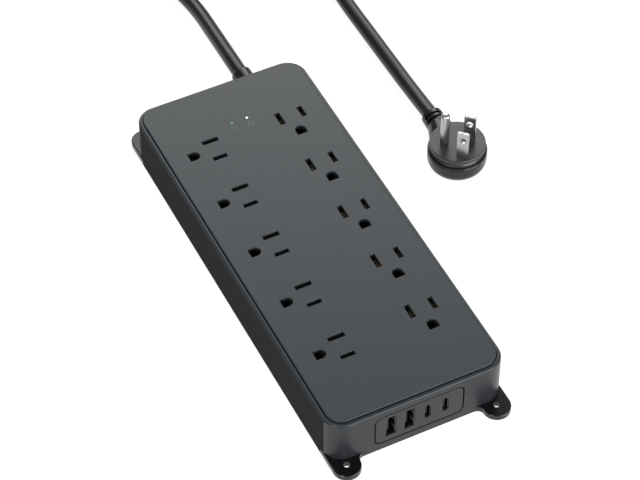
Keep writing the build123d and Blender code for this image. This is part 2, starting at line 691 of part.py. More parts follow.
for port, port_x in enumerate(USB_A_X, start=1):
    with BuildPart() as a_shell:
        with BuildSketch(Plane.XZ.offset(-PORT_FACE_Y)):
            with Locations((port_x, USB_PORT_Z)):
                RectangleRounded(*A_SHELL, 0.6)
        extrude(amount=-PORT_DEPTH)
        with BuildSketch(Plane.XZ.offset(-PORT_FACE_Y)):
            with Locations((port_x, USB_PORT_Z)):
                RectangleRounded(A_SHELL[0] - 2 * SHELL_T, A_SHELL[1] - 2 * SHELL_T, 0.3)
        extrude(amount=SHELL_T - PORT_DEPTH, mode=Mode.SUBTRACT)
    a_shell.part.label = f"usb_a_shell_{port}"
    export_step(a_shell.part, f"parts/usb_a_shell_{port}.step")
    with BuildPart() as a_tongue:
        with BuildSketch(Plane.XZ.offset(-PORT_BACK_Y + SHELL_T)):
            with Locations((port_x - 0.9, USB_PORT_Z)):
                Rectangle(1.9, 11.2)
        extrude(amount=11.6)
        chamfer(a_tongue.faces().sort_by(Axis.Y)[0].edges(), 0.35)
    a_tongue.part.label = f"usb_a_tongue_{port}"
    export_step(a_tongue.part, f"parts/usb_a_tongue_{port}.step")

for port, port_x in enumerate(USB_C_X, start=1):
    with BuildPart() as c_shell:
        with BuildSketch(Plane.XZ.offset(-PORT_FACE_Y)):
            with Locations((port_x, USB_PORT_Z)):
                SlotOverall(C_SHELL[1], C_SHELL[0], rotation=90)
        extrude(amount=-PORT_DEPTH)
        with BuildSketch(Plane.XZ.offset(-PORT_FACE_Y)):
            with Locations((port_x, USB_PORT_Z)):
                SlotOverall(C_SHELL[1] - 2 * SHELL_T, C_SHELL[0] - 2 * SHELL_T, rotation=90)
        extrude(amount=SHELL_T - PORT_DEPTH, mode=Mode.SUBTRACT)
    c_shell.part.label = f"usb_c_shell_{port}"
    export_step(c_shell.part, f"parts/usb_c_shell_{port}.step")
    with BuildPart() as c_tongue:
        with BuildSketch(Plane.XZ.offset(-PORT_BACK_Y + SHELL_T)):
            with Locations((port_x, USB_PORT_Z)):
                Rectangle(0.7, 6.6)
        extrude(amount=12.2)
    c_tongue.part.label = f"usb_c_tongue_{port}"
    export_step(c_tongue.part, f"parts/usb_c_tongue_{port}.step")

with BuildPart() as usb_port_board:
    with BuildSketch(Plane.XZ.offset(-PORT_BACK_Y)):
        with Locations((-1.1, 15.6)):
            Rectangle(44.0, 18.0)
    extrude(amount=-BOARD_T)
usb_port_board.part.label = "usb_port_board"
export_step(usb_port_board.part, "parts/usb_port_board.step")

with BuildPart() as usb_power_board:
    with BuildSketch(Plane.XY.offset(BOARD_Z)):
        with Locations(USB_BOARD[:2]):
            Rectangle(*USB_BOARD[2:])
        with Locations(BOARD_POSTS[4:]):
            Circle(1.3, mode=Mode.SUBTRACT)
    extrude(amount=BOARD_T)
usb_power_board.part.label = "usb_power_board"
export_step(usb_power_board.part, "parts/usb_power_board.step")

with BuildPart() as usb_transformer:
    with BuildSketch(Plane.XY.offset(BOARD_TOP)):
        with Locations(TRANSFORMER_AT):
            RectangleRounded(17.0, 13.0, 0.6)
    extrude(amount=14.5)
    with BuildSketch(Plane.XY.offset(BOARD_TOP + 3.0)):
        with Locations(TRANSFORMER_AT):
            RectangleRounded(13.0, 14.6, 2.0)
    extrude(amount=8.5)
usb_transformer.part.label = "usb_transformer"
export_step(usb_transformer.part, "parts/usb_transformer.step")

with BuildPart() as smoothing_capacitor:
    with BuildSketch(Plane.XY.offset(BOARD_TOP)):
        with Locations(SMOOTHING_AT):
            Circle(SMOOTHING_R)
    extrude(amount=SMOOTHING_H)
    fillet(smoothing_capacitor.faces().sort_by(Axis.Z)[-1].edges(), 0.7)
smoothing_capacitor.part.label = "smoothing_capacitor"
export_step(smoothing_capacitor.part, "parts/smoothing_capacitor.step")

# ---------------------------------------------------------------- cord entry
FLANGE_R = 7.6
CORD_FIT = 0.05

with BuildPart() as strain_relief:
    with BuildSketch(Plane((CORD_X, REAR_Y, CORD_Z), x_dir=(1, 0, 0), z_dir=(0, 0, 1))):
        with BuildLine():
            Polyline(
                (CORD_R + CORD_FIT, -WALL - 2.5),
                (FLANGE_R, -WALL - 2.5),
                (FLANGE_R, -WALL),
                (COLLAR_R - 1.0, -WALL),
                (COLLAR_R - 1.0, 0),
                (COLLAR_R, 0),
                (COLLAR_R - 0.2, COLLAR_L - 1.5),
            )
            TangentArc((COLLAR_R - 0.2, COLLAR_L - 1.5), (CORD_R + 0.4, COLLAR_L), tangent=(-0.01, 1))
            Polyline(
                (CORD_R + 0.4, COLLAR_L),
                (CORD_R + CORD_FIT, COLLAR_L),
                (CORD_R + CORD_FIT, -WALL - 2.5),
            )
        make_face()
    revolve(axis=Axis((CORD_X, REAR_Y, CORD_Z), (0, 1, 0)))
strain_relief.part.label = "strain_relief"
export_step(strain_relief.part, "parts/strain_relief.step")

with BuildPart() as cord_clamp:
    with BuildSketch(Plane.XZ.offset(-CLAMP_Y - 2.5)):
        with Locations((CORD_X, CLAMP_FOOT_Z + 1.5)):
            Rectangle(26.0, 3.0)
        with Locations((CORD_X, CORD_Z)):
            Circle(CORD_R + 2.4)
        with Locations((CORD_X, CORD_Z)):
            Circle(CORD_R + CORD_FIT, mode=Mode.SUBTRACT)
        with Locations((CORD_X, CLAMP_FOOT_Z - 5.0)):
            Rectangle(30.0, 10.0, mode=Mode.SUBTRACT)
        with Locations((CORD_X, CORD_Z - CORD_R)):
            Rectangle(2 * CORD_R + 2 * CORD_FIT, 2 * CORD_R, mode=Mode.SUBTRACT)
    extrude(amount=5.0)
    with BuildSketch(Plane.XY.offset(CLAMP_FOOT_Z)):
        with Locations(CLAMP_POSTS):
            Circle(SCREW_R + FIT)
    extrude(amount=4.0, mode=Mode.SUBTRACT)
cord_clamp.part.label = "cord_clamp"
export_step(cord_clamp.part, "parts/cord_clamp.step")

with BuildPart() as clamp_screws:
    with BuildSketch(Plane.XY.offset(1.6)):
        with Locations(CLAMP_POSTS):
            Circle(SCREW_R)
    extrude(amount=CLAMP_FOOT_Z + 3.0 - 1.6)
    with BuildSketch(Plane.XY.offset(CLAMP_FOOT_Z + 3.0)):
        with Locations(CLAMP_POSTS):
            Circle(2.4)
    extrude(amount=1.8)
clamp_screws.part.label = "clamp_screws"
export_step(clamp_screws.part, "parts/clamp_screws.step")

# Leads from the end of the cord: live through the breaker, neutral and ground to their strips.
LEAD_Y = 105.5
LEAD_TAIL = 3.5
TERMINAL_TIP_X = BREAKER_X + BREAKER_W / 2 + TERMINAL_L
STRIP_MID_Z = CONTACT_Z + CONTACT_T / 2
LEADS = {
    "live_leads": [
        [
            (CORD_X - 2.4, LEAD_Y, CORD_Z),
            (CORD_X - 3.0, 99.0, CORD_Z - 1.0),
            (4.0, 98.0, CORD_Z - 1.0),
            (TERMINAL_TIP_X + 1.2, TERMINAL_YS[1], CORD_Z + 1.0),
        ],
        [
            (TERMINAL_TIP_X + 0.3, TERMINAL_YS[0], BREAKER_Z),
            (TERMINAL_TIP_X + 2.6, TERMINAL_YS[0] - 2.0, BREAKER_Z),
            (TERMINAL_TIP_X + 1.9, STRIP_END_Y + 4.5, STRIP_MID_Z),
            (LEFT_LIVE_RAIL_X, STRIP_END_Y + 4.5, STRIP_MID_Z),
            (LEFT_LIVE_RAIL_X, STRIP_END_Y, STRIP_MID_Z),
        ],
    ],
    "neutral_lead": [
        [
            (CORD_X, LEAD_Y, CORD_Z + 2.4),
            (CORD_X - 0.6, 98.0, CORD_Z + 3.0),
            (RIGHT_NEUTRALS[0][0], STRIP_END_Y + LEAD_TAIL, STRIP_MID_Z),
            (RIGHT_NEUTRALS[0][0], STRIP_END_Y, STRIP_MID_Z),
        ]
    ],
    "ground_lead": [
        [
            (CORD_X + 2.2, LEAD_Y, CORD_Z - 1.2),
            (CORD_X + 3.0, 97.0, CORD_Z - 0.6),
            (RIGHT_GROUND_X, STRIP_END_Y + LEAD_TAIL, STRIP_MID_Z),
            (RIGHT_GROUND_X, STRIP_END_Y, STRIP_MID_Z),
        ]
    ],
}
for lead_name, lead_paths in LEADS.items():
    with BuildPart() as lead:
        for lead_path in lead_paths:
            add(wire(lead_path, 1.6, WIRE_R))
    lead.part.label = lead_name
    export_step(lead.part, f"parts/{lead_name}.step")


# ---------------------------------------------------------------- free cord
def corner_radii(route):
    """The largest arc that each corner's two runs allow."""
    radii = []
    for before, corner, after in zip(route, route[1:], route[2:]):
        run_in = Vector(*corner) - Vector(*before)
        run_out = Vector(*after) - Vector(*corner)
        half_turn = radians(run_in.get_angle(run_out)) / 2
        radii.append(0.45 * min(run_in.length, run_out.length) / tan(half_turn))
    return radii


def cord_tube(route, name):
    """A stretch of the round cord, swept along straight runs and tangent arcs."""
    radii = corner_radii(route)
    with BuildPart() as tube:
        with BuildLine() as path:
            FilletPolyline(*route, radius=radii)
        line = path.wires()[0]
        with BuildSketch(Plane(line @ 0, z_dir=line % 0)):
            Circle(CORD_R)
        sweep(path=line)
    section_times_length = pi * CORD_R**2 * line.length
    print(f"{name}: arc radii {[round(radius) for radius in radii]} mm, length {line.length:.1f} mm")
    print(f"{name}: volume {tube.part.volume:.0f}, section times length {section_times_length:.0f} mm3")
    return tube.part


for stretch_name, stretch_route in (("cord_exit_run", EXIT_ROUTE), ("cord_plug_run", PLUG_ROUTE)):
    stretch = cord_tube(stretch_route, stretch_name)
    stretch.label = stretch_name
    export_step(stretch, f"parts/{stretch_name}.step")

# The stored middle of the cord: the outer shape of its coil, and the strap that ties it.
COIL_AXIS = Axis((COIL_X, COIL_Y, 0), (0, 0, 1))
COIL_MID_R = (COIL_IN_R + COIL_OUT_R) / 2
COIL_BAND = COIL_OUT_R - COIL_IN_R
COIL_MID_Z = TIE_T + COIL_H / 2
TIE_ARC = 16.0

with BuildPart() as cord_coil:
    with BuildSketch(Plane((COIL_X, COIL_Y, 0), x_dir=(1, 0, 0), z_dir=(0, -1, 0))):
        with Locations((COIL_MID_R, COIL_MID_Z)):
            RectangleRounded(COIL_BAND, COIL_H, CORD_R - 0.1)
    revolve(axis=COIL_AXIS)
cord_coil.part.label = "cord_coil"
export_step(cord_coil.part, "parts/cord_coil.step")

tie_turn = radians(90 - TIE_ARC / 2)
tie_x_dir = (cos(tie_turn), sin(tie_turn), 0)
tie_z_dir = (sin(tie_turn), -cos(tie_turn), 0)
with BuildPart() as cord_tie:
    with BuildSketch(Plane((COIL_X, COIL_Y, 0), x_dir=tie_x_dir, z_dir=tie_z_dir)):
        with Locations((COIL_MID_R, COIL_MID_Z)):
            RectangleRounded(COIL_BAND + 2 * TIE_T, COIL_H + 2 * TIE_T, CORD_R + TIE_T)
            RectangleRounded(COIL_BAND, COIL_H, CORD_R - 0.1, mode=Mode.SUBTRACT)
    revolve(axis=COIL_AXIS, revolution_arc=TIE_ARC)
cord_tie.part.label = "cord_tie"
export_step(cord_tie.part, "parts/cord_tie.step")

# ---------------------------------------------------------------- plug
# Its flat face looks up. The neck points to the cord, and the pins are turned from the neck.
neck_x_dir = (cos(radians(PLUG_TURN)), sin(radians(PLUG_TURN)), 0)
neck_dir = (-sin(radians(PLUG_TURN)), cos(radians(PLUG_TURN)), 0)
pin_x_dir = (cos(radians(PIN_TURN)), sin(radians(PIN_TURN)), 0)
NECK_ROOT_Z = 8.2
RELIEF_AT = 23.0
RIB_H = 4.4
SLOT_L = 1.5
GROUND_AT = (-GROUND_OFFSET / 2 - 2.7, 0)
BLADE_AT = GROUND_AT[0] + GROUND_OFFSET
FACE_PLANE = Plane((*PIN_CENTRE, PLUG_FACE_Z - PIN_ROOT), x_dir=pin_x_dir, z_dir=(0, 0, 1))


def plug_plane(along):
    """Plane across the plug's neck, at a distance from the plug's middle."""
    origin = (PLUG_X + neck_dir[0] * along, PLUG_Y + neck_dir[1] * along, NECK_Z)
    return Plane(origin, x_dir=neck_x_dir, z_dir=neck_dir)


with BuildPart() as plug_body:
    with BuildSketch(Plane.XY):
        with Locations((PLUG_X, PLUG_Y)):
            Circle(PLUG_R)
    extrude(amount=PLUG_STEP_Z)
    fillet(plug_body.faces().sort_by(Axis.Z)[0].edges(), PLUG_UNDER_R)
    fillet(plug_body.faces().sort_by(Axis.Z)[-1].edges(), 0.6)
    with Locations((PLUG_X, PLUG_Y, PLUG_GROOVE_Z)):
        Torus(PLUG_R + 0.15, 0.45, mode=Mode.SUBTRACT)
    # Neck, which narrows from the width of the plug to the strain relief.
    with BuildSketch(plug_plane(10.0)):
        with Locations((0, NECK_Z - NECK_ROOT_Z)):
            Ellipse(11.0, NECK_ROOT_Z - 0.1)
    with BuildSketch(plug_plane(RELIEF_AT)):
        Circle(NECK_R)
    loft()
    with BuildSketch(plug_plane(RELIEF_AT)):
        Circle(NECK_R)
    extrude(amount=NECK_L - RELIEF_AT, taper=1.5)
    # Slots over and under the strain relief. Ribs at both sides stay whole.
    for slot_at in (RELIEF_AT + 1.0, RELIEF_AT + 4.0):
        with BuildSketch(plug_plane(slot_at)):
            Circle(NECK_R + 1)
            Circle(CORD_R + 0.5, mode=Mode.SUBTRACT)
            Rectangle(2 * NECK_R + 3, RIB_H, mode=Mode.SUBTRACT)
        extrude(amount=SLOT_L, mode=Mode.SUBTRACT)
    # Seat of the face.
    with BuildSketch(Plane.XY.offset(PLUG_STEP_Z)):
        with Locations((PLUG_X, PLUG_Y)):
            Circle(PLUG_FACE_R + 0.02)
    extrude(amount=PLUG_FACE_Z, mode=Mode.SUBTRACT)
plug_body.part.label = "plug_body"
export_step(plug_body.part, "parts/plug_body.step")

with BuildPart() as plug_face:
    with BuildSketch(Plane.XY.offset(PLUG_STEP_Z)):
        with Locations((PLUG_X, PLUG_Y)):
            Circle(PLUG_FACE_R)
    extrude(amount=PLUG_FACE_Z - PLUG_STEP_Z)
    fillet(plug_face.faces().sort_by(Axis.Z)[-1].edges(), 0.5)
    # Cove round the side, below the face's rim.
    with Locations((PLUG_X, PLUG_Y, PLUG_STEP_Z + 2.2)):
        Torus(PLUG_FACE_R + 1.1, 1.8, mode=Mode.SUBTRACT)
    with BuildSketch(FACE_PLANE):
        with Locations((BLADE_AT, BLADE_SPACING / 2), (BLADE_AT, -BLADE_SPACING / 2)):
            Rectangle(BLADE_W, BLADE_T)
        with Locations(GROUND_AT):
            Circle(PIN_R)
    extrude(amount=PIN_ROOT, mode=Mode.SUBTRACT)
plug_face.part.label = "plug_face"
export_step(plug_face.part, "parts/plug_face.step")

for blade_side, blade_name in ((-1, "live_blade"), (1, "neutral_blade")):
    with BuildPart() as blade:
        with BuildSketch(FACE_PLANE):
            with Locations((BLADE_AT, blade_side * BLADE_SPACING / 2)):
                Rectangle(BLADE_W, BLADE_T)
        extrude(amount=PIN_ROOT + BLADE_H)
        chamfer(blade.faces().sort_by(Axis.Z)[-1].edges(), 0.45)
        with BuildSketch(Plane(FACE_PLANE.origin, x_dir=pin_x_dir, z_dir=FACE_PLANE.y_dir)):
            with Locations((BLADE_AT, -(PIN_ROOT + BLADE_HOLE_Z))):
                Circle(1.9)
        extrude(amount=2 * BLADE_SPACING, both=True, mode=Mode.SUBTRACT)
    blade.part.label = blade_name
    export_step(blade.part, f"parts/{blade_name}.step")

with BuildPart() as ground_pin:
    with BuildSketch(FACE_PLANE):
        with Locations(GROUND_AT):
            Circle(PIN_R)
    extrude(amount=PIN_ROOT + PIN_H)
    fillet(ground_pin.faces().sort_by(Axis.Z)[-1].edges(), 1.7)
ground_pin.part.label = "ground_pin"
export_step(ground_pin.part, "parts/ground_pin.step")
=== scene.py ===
from math import cos, pi, radians, sin

import bmesh
import bpy
from mathutils import Matrix, Quaternion, Vector


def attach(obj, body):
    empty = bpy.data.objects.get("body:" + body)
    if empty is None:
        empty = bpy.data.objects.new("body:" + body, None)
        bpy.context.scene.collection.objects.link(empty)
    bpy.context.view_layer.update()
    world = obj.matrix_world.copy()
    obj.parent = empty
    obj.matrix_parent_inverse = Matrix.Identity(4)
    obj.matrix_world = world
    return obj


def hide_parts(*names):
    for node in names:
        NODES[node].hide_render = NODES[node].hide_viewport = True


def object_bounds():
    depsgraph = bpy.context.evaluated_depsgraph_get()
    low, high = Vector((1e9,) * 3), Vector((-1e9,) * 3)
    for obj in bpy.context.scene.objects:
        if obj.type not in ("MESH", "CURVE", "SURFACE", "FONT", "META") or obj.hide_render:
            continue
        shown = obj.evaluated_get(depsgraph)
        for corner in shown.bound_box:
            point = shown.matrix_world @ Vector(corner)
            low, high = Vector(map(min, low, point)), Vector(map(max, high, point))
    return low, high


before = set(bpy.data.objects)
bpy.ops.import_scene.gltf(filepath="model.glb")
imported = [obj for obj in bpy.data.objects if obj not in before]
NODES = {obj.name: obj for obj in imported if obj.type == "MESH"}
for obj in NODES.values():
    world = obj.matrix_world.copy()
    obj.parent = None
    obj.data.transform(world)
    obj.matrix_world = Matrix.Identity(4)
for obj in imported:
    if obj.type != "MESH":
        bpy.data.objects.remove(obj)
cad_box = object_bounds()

MM = 0.001
scene = bpy.context.scene

# ---------------------------------------------------------------- camera
CAMERA_AT = Vector((-378.9, -778.8, 1002.3)) * MM
CAMERA_AIM = Vector((12.5, 16.9, 0.0)) * MM
CAMERA_ROLL = -0.14
CAMERA_LENS = 144.4
CAMERA_SENSOR = 36.0
CAMERA_NEAR = 0.05
CAMERA_FAR = 20.0


def make_camera():
    """A long lens that looks down at the strip from the left of its USB end."""
    camera = bpy.data.objects.new("camera", bpy.data.cameras.new("camera"))
    scene.collection.objects.link(camera)
    look = (CAMERA_AIM - CAMERA_AT).to_track_quat("-Z", "Y")
    camera.rotation_mode = "QUATERNION"
    camera.rotation_quaternion = look @ Quaternion((0, 0, 1), radians(CAMERA_ROLL))
    camera.location = CAMERA_AT
    camera.data.lens = CAMERA_LENS
    camera.data.sensor_width = CAMERA_SENSOR
    camera.data.clip_start = CAMERA_NEAR
    camera.data.clip_end = CAMERA_FAR
    scene.camera = camera


make_camera()

# ---------------------------------------------------------------- cord
CORD_D = 8.6
CORD_R = CORD_D / 2

# The same route as the CAD tubes: from the clamp inside the housing to the coil, and from the
# coil to the plug.
EXIT_ROUTE = [
    (22.8, 106, 12.0),
    (22.8, 140, 12.0),
    (24.3, 172, 8.2),
    (25.8, 203, 4.3),
    (20.0, 232, 4.3),
    (11.8, 258, 5.3),
]
PLUG_ROUTE = [
    (117.0, 258, 13.9),
    (112.5, 230, 12.6),
    (105.2, 200, 5.5),
    (103.4, 170, 4.3),
    (103.7, 143, 4.3),
    (103.9, 115, 4.3),
    (103.9, 90, 4.8),
    (103.4, 64.5, 7.5),
]
COIL_X = 64.0
COIL_Y = 264.0
COIL_R_IN = 34.0
COIL_R_OUT = 53.6
COIL_TURNS = 4.5
COIL_STEPS = 16
COIL_LOW_Z = 5.3
CROSSING_LEAD = 0.12
CROSSING_TURNS = 0.34
CURVE_STEPS = 10
ROUND_STEPS = 7


def smooth(x):
    """0 below 0, 1 above 1, and an even ramp between."""
    x = min(1.0, max(0.0, x))
    return x * x * (3 - 2 * x)


def coil_points():
    """Two layers of the coil: the lower one winds inwards, and the upper one back out."""
    points = []
    half = COIL_TURNS / 2
    for step in range(1, int(COIL_TURNS * COIL_STEPS)):
        turn = step / COIL_STEPS
        radius = COIL_R_IN + (COIL_R_OUT - COIL_R_IN) * abs(turn - half) / half
        climb = smooth((turn - half + CROSSING_LEAD) / CROSSING_TURNS)
        height = COIL_LOW_Z + CORD_D * climb
        angle = pi - 2 * pi * turn
        points.append((COIL_X + radius * cos(angle), COIL_Y + radius * sin(angle), height))
    return points


def nurbs_curve(name, points, radius):
    """A round tube on one smooth open NURBS spline. The points carry the tube's radius, so that the
    curve's measured box is no wider than the tube."""
    curve = bpy.data.curves.new(name, "CURVE")
    curve.dimensions = "3D"
    spline = curve.splines.new("NURBS")
    spline.points.add(len(points) - 1)
    for place, point in zip(spline.points, points):
        place.co = (point[0] * MM, point[1] * MM, point[2] * MM, 1.0)
        place.radius = radius * MM
    spline.order_u = 3
    spline.use_endpoint_u = True
    spline.resolution_u = CURVE_STEPS
    curve.bevel_depth = 1.0
    curve.bevel_resolution = ROUND_STEPS
    curve.use_fill_caps = True
    piece = bpy.data.objects.new(name, curve)
    scene.collection.objects.link(piece)
    return piece


power_cord = nurbs_curve("power_cord", EXIT_ROUTE + coil_points() + PLUG_ROUTE, CORD_R)
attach(power_cord, "strip")
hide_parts("cord_exit_run", "cord_coil", "cord_plug_run")


# ---------------------------------------------------------------- materials
BROAD_SCALE = 0.03
BROAD_DETAIL = 2.0
GLOSS_CHANGE = 0.04
METAL_GLOSS_CHANGE = 0.05
LEAST_ROUGH = 0.02
GRAIN_STRENGTH = 0.35
MARKS_STRENGTH = 0.2
MARKS_SCALE = 1.5
MARKS_DETAIL = 5.0
MARKS_STRETCH = (1.0, 1.0, 0.12)
SHEEN_ROUGH = 0.35
LENS_ROUGH = 0.3


def shader_of(name):
    material = bpy.data.materials.new(name)
    material.use_nodes = True
    return material, material.node_tree, material.node_tree.nodes["Principled BSDF"]


def object_noise(tree, scale, detail=3.0):
    """Noise in the object's own coordinates, in cells per millimetre."""
    where = tree.nodes.new("ShaderNodeTexCoord")
    noise = tree.nodes.new("ShaderNodeTexNoise")
    noise.inputs["Scale"].default_value = scale / MM
    noise.inputs["Detail"].default_value = detail
    tree.links.new(where.outputs["Object"], noise.inputs["Vector"])
    return noise


def moulded(
    name, colour, rough, grain=3.0, bump=0.02, vary=0.1, spec=0.5, sheen=0.0, ior=1.5
):
    """Moulded plastic: fine grain in the relief, faint change in tone and in gloss."""
    material, tree, shader = shader_of(name)
    fine = object_noise(tree, grain)
    broad = object_noise(tree, BROAD_SCALE, BROAD_DETAIL)
    tone = tree.nodes.new("ShaderNodeMapRange")
    tone.inputs["To Min"].default_value = 1.0 - vary
    tone.inputs["To Max"].default_value = 1.0 + vary
    tree.links.new(broad.outputs["Fac"], tone.inputs["Value"])
    tint = tree.nodes.new("ShaderNodeVectorMath")
    tint.operation = "SCALE"
    tint.inputs[0].default_value = colour
    tree.links.new(tone.outputs["Result"], tint.inputs["Scale"])
    tree.links.new(tint.outputs["Vector"], shader.inputs["Base Color"])
    gloss = tree.nodes.new("ShaderNodeMapRange")
    gloss.inputs["To Min"].default_value = max(LEAST_ROUGH, rough - GLOSS_CHANGE)
    gloss.inputs["To Max"].default_value = min(1.0, rough + GLOSS_CHANGE)
    tree.links.new(fine.outputs["Fac"], gloss.inputs["Value"])
    tree.links.new(gloss.outputs["Result"], shader.inputs["Roughness"])
    relief = tree.nodes.new("ShaderNodeBump")
    relief.inputs["Strength"].default_value = GRAIN_STRENGTH
    relief.inputs["Distance"].default_value = bump * MM
    tree.links.new(fine.outputs["Fac"], relief.inputs["Height"])
    tree.links.new(relief.outputs["Normal"], shader.inputs["Normal"])
    shader.inputs["IOR"].default_value = ior
    shader.inputs["Specular IOR Level"].default_value = spec
    shader.inputs["Sheen Weight"].default_value = sheen
    shader.inputs["Sheen Roughness"].default_value = SHEEN_ROUGH
    return material


def metal(name, colour, rough, relief_depth=0.01):
    """Metal with fine rolling marks."""
    material, tree, shader = shader_of(name)
    marks = object_noise(tree, MARKS_SCALE, MARKS_DETAIL)
    stretch = tree.nodes.new("ShaderNodeMapping")
    stretch.inputs["Scale"].default_value = MARKS_STRETCH
    where = marks.inputs["Vector"].links[0].from_node
    tree.links.new(where.outputs["Object"], stretch.inputs["Vector"])
    tree.links.new(stretch.outputs["Vector"], marks.inputs["Vector"])
    shader.inputs["Base Color"].default_value = (*colour, 1.0)
    shader.inputs["Metallic"].default_value = 1.0
    gloss = tree.nodes.new("ShaderNodeMapRange")
    gloss.inputs["To Min"].default_value = max(LEAST_ROUGH, rough - METAL_GLOSS_CHANGE)
    gloss.inputs["To Max"].default_value = rough + METAL_GLOSS_CHANGE
    tree.links.new(marks.outputs["Fac"], gloss.inputs["Value"])
    tree.links.new(gloss.outputs["Result"], shader.inputs["Roughness"])
    relief = tree.nodes.new("ShaderNodeBump")
    relief.inputs["Strength"].default_value = MARKS_STRENGTH
    relief.inputs["Distance"].default_value = relief_depth * MM
    tree.links.new(marks.outputs["Fac"], relief.inputs["Height"])
    tree.links.new(relief.outputs["Normal"], shader.inputs["Normal"])
    return material


def lit(name, colour, strength):
    """Lens of an indicator light."""
    material, tree, shader = shader_of(name)
    shader.inputs["Base Color"].default_value = (*colour, 1.0)
    shader.inputs["Emission Color"].default_value = (*colour, 1.0)
    shader.inputs["Emission Strength"].default_value = strength
    shader.inputs["Roughness"].default_value = LENS_ROUGH
    return material


CASE = moulded("case_plastic", (0.014, 0.015, 0.017), 0.33, 2.2, bump=0.02, vary=0.06, spec=0.25)
# Painted shade: a darker, matt copy of the housing plastic, put on the long side walls only.
SHADED_SIDE = moulded("shaded_side_plastic", (0.019, 0.0195, 0.021), 0.60, 2.2, bump=0.03, vary=0.06, ior=1.045)
PLATE = moulded("plate_plastic", (0.019, 0.026, 0.030), 0.42, 2.6, bump=0.02, vary=0.04)
BEZEL = moulded("bezel_plastic", (0.017, 0.017, 0.019), 0.38, 2.6, bump=0.02, vary=0.05, spec=0.25)
EAR_PLASTIC = moulded("ear_plastic", (0.007, 0.007, 0.008), 0.20, 1.8, bump=0.008, ior=1.42)
CARRIER = moulded("carrier_nylon", (0.004, 0.004, 0.0045), 0.6, 1.2, bump=0.03)
JACKET = moulded(
    "cord_pvc", (0.008, 0.008, 0.009), 0.30, 1.6, bump=0.006, vary=0.05, ior=1.4, sheen=0.12
)
PLUG_PVC = moulded("plug_pvc", (0.008, 0.008, 0.009), 0.22, 1.4, bump=0.015, vary=0.08, ior=1.4)
FACE = moulded("plug_face_plastic", (0.026, 0.026, 0.028), 0.30, 1.0, bump=0.004, vary=0.05)
BUTTON = moulded("button_plastic", (0.010, 0.010, 0.011), 0.22, grain=1.5, bump=0.01)
BOARD = moulded("board_mask", (0.012, 0.07, 0.02), 0.25, grain=0.8, bump=0.02)
PAPER = moulded("fish_paper", (0.18, 0.19, 0.17), 0.7, grain=1.0, bump=0.05)
BLUE = moulded("varistor_epoxy", (0.01, 0.04, 0.25), 0.3, grain=0.7, bump=0.05)
CREAM = moulded("fuse_ceramic", (0.6, 0.57, 0.48), 0.35, grain=1.0)
YELLOW = moulded("capacitor_box", (0.6, 0.36, 0.03), 0.3, grain=1.0)
TAPE = moulded("transformer_tape", (0.5, 0.34, 0.03), 0.25, grain=0.6)
SLEEVE = moulded("capacitor_sleeve", (0.01, 0.015, 0.05), 0.25, grain=1.0)
COPPER = metal("enamelled_copper", (0.5, 0.2, 0.06), 0.3)
BRASS = metal("stamped_brass", (0.66, 0.40, 0.18), 0.32)
STEEL = metal("zinc_steel", (0.55, 0.55, 0.57), 0.3)
SHELL = metal("port_shell_steel", (0.13, 0.13, 0.135), 0.30)
NICKEL = metal("plated_blades", (0.45, 0.45, 0.445), 0.32, relief_depth=0.0002)
BLACK_WIRE = moulded("black_wire", (0.01, 0.01, 0.01), 0.3)
WHITE_WIRE = moulded("white_wire", (0.7, 0.7, 0.68), 0.3)
GREEN_WIRE = moulded("green_wire", (0.02, 0.2, 0.04), 0.3)
STRAP = moulded("strap_fabric", (0.012, 0.012, 0.013), 0.85, grain=1.5, bump=0.25)
GREEN_LIGHT = lit("green_light", (0.10, 0.42, 0.20), 0.25)
WHITE_LIGHT = lit("white_light", (0.95, 0.97, 1.0), 2.0)

LOOKS = {
    "upper_housing": CASE, "base_cover": EAR_PLASTIC, "outlet_plate": PLATE, "usb_bezel": BEZEL,
    "housing_screws": STEEL, "left_contact_carrier": CARRIER, "right_contact_carrier": CARRIER,
    "left_neutral_contacts": BRASS, "left_live_contacts": BRASS, "left_ground_contacts": BRASS,
    "right_neutral_contacts": BRASS, "right_live_contacts": BRASS, "right_ground_contacts": BRASS,
    "bus_insulators": PAPER, "bus_links": BLACK_WIRE, "surge_board": BOARD, "board_screws": STEEL,
    "live_neutral_varistor": BLUE, "live_ground_varistor": BLUE, "neutral_ground_varistor": BLUE,
    "thermal_fuse": CREAM, "filter_capacitor": YELLOW, "choke": COPPER,
    "breaker_body": BUTTON, "breaker_bushing": NICKEL, "breaker_nut": NICKEL,
    "reset_button": BUTTON, "breaker_terminals": BRASS,
    "indicator_board": BOARD, "ground_led": GREEN_LIGHT, "power_led": WHITE_LIGHT,
    "ground_light_pipe": GREEN_LIGHT, "power_light_pipe": WHITE_LIGHT,
    "usb_a_shell_1": SHELL, "usb_a_shell_2": SHELL, "usb_c_shell_1": SHELL, "usb_c_shell_2": SHELL,
    "usb_a_tongue_1": CARRIER, "usb_a_tongue_2": CARRIER,
    "usb_c_tongue_1": CARRIER, "usb_c_tongue_2": CARRIER,
    "usb_port_board": BOARD, "usb_power_board": BOARD,
    "usb_transformer": TAPE, "smoothing_capacitor": SLEEVE,
    "strain_relief": PLUG_PVC, "cord_clamp": CARRIER, "clamp_screws": STEEL,
    "live_leads": BLACK_WIRE, "neutral_lead": WHITE_WIRE, "ground_lead": GREEN_WIRE,
    "cord_tie": STRAP, "plug_body": PLUG_PVC, "plug_face": FACE,
    "live_blade": NICKEL, "neutral_blade": NICKEL, "ground_pin": NICKEL,
    "cord_exit_run": JACKET, "cord_coil": JACKET, "cord_plug_run": JACKET,
}


def dress(piece, material):
    piece.data.materials.clear()
    piece.data.materials.append(material)


for node_name, look in LOOKS.items():
    dress(NODES[node_name], look)
dress(power_cord, JACKET)


RIM_LOW_Z = 28.0
RIM_TOP_SLOPE = 0.7
SHADED_WALL_SLOPE = 0.97
# Painted sheen: slot for the rim's top faces, which take the plate's brighter look.
RIM_SHEEN_LOOK = 1
SHADED_WALL_LOOK = 2


